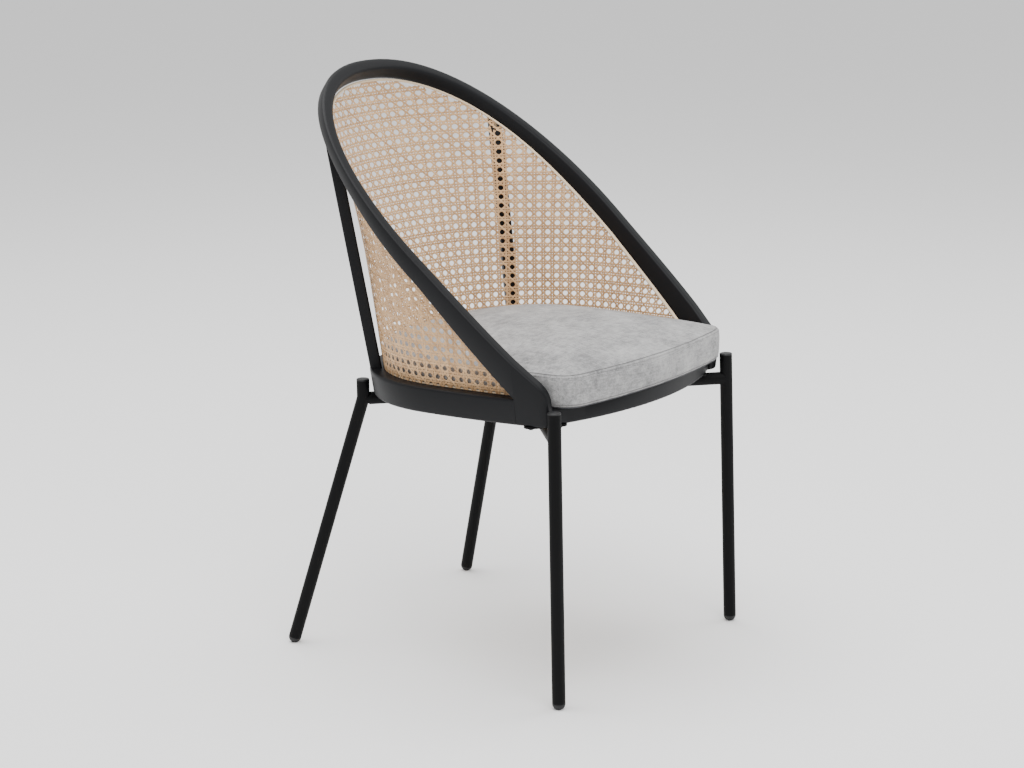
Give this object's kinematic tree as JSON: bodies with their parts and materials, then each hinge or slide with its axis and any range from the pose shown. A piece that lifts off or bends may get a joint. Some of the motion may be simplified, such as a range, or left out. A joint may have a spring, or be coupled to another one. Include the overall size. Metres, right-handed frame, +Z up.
{
  "type": "dining chair",
  "caption": "Dining chair with a black hoop back, woven cane shell, loose grey box cushion and black tubular steel legs.",
  "frame": {"origin": "floor level, at the centre of the chair's footprint box", "axes": "+Z up, -Y the way the chair faces, +X the sitter's left"},
  "size_m": [0.5272, 0.544, 0.8635],
  "materials": {
    "black_lacquer": "satin black lacquer on bent beech",
    "cane": "natural woven cane",
    "reed": "natural reed",
    "plywood": "raw birch plywood",
    "foam": "soft open-cell foam",
    "seat_fabric": "grey slub weave",
    "base_fabric": "non-slip dark cloth",
    "block_wood": "raw beech",
    "black_powder_coat": "satin black powder coat on steel tube",
    "cap_plastic": "fine-textured black",
    "glide_plastic": "black",
    "black_steel": "black oxide steel",
    "brass": "turned brass",
    "zinc_steel": "zinc plated",
    "dowel_wood": "fluted beech"
  },
  "bodies": {
    "root": {"back_hoop": "black_lacquer", "seat_band": "black_lacquer", "front_rail": "black_lacquer", "back_post_right": "black_lacquer", "back_post_left": "black_lacquer", "cane_panel": "cane", "upper_reed_bead": "reed", "lower_reed_spline": "reed", "seat_board": "plywood", "seat_foam": "foam", "seat_cover": "seat_fabric", "cover_base": "base_fabric", "block_front_right": "block_wood", "block_front_left": "block_wood", "block_rear_right": "block_wood", "block_rear_left": "block_wood", "leg_front_right": "black_powder_coat", "leg_front_left": "black_powder_coat", "leg_rear_right": "black_powder_coat", "leg_rear_left": "black_powder_coat", "cross_tube_long": "black_powder_coat", "cross_tube_front": "black_powder_coat", "cross_tube_rear": "black_powder_coat", "plate_front_right": "black_powder_coat", "plate_front_left": "black_powder_coat", "plate_rear_right": "black_powder_coat", "plate_rear_left": "black_powder_coat", "cap_front_right": "cap_plastic", "cap_front_left": "cap_plastic", "cap_rear_right": "cap_plastic", "cap_rear_left": "cap_plastic", "glide_front_right": "glide_plastic", "glide_front_left": "glide_plastic", "glide_rear_right": "glide_plastic", "glide_rear_left": "glide_plastic", "frame_bolts": "black_steel", "threaded_inserts": "brass", "board_screws": "zinc_steel", "post_dowels": "dowel_wood", "rail_dowels": "dowel_wood"}
  },
  "joints": []
}
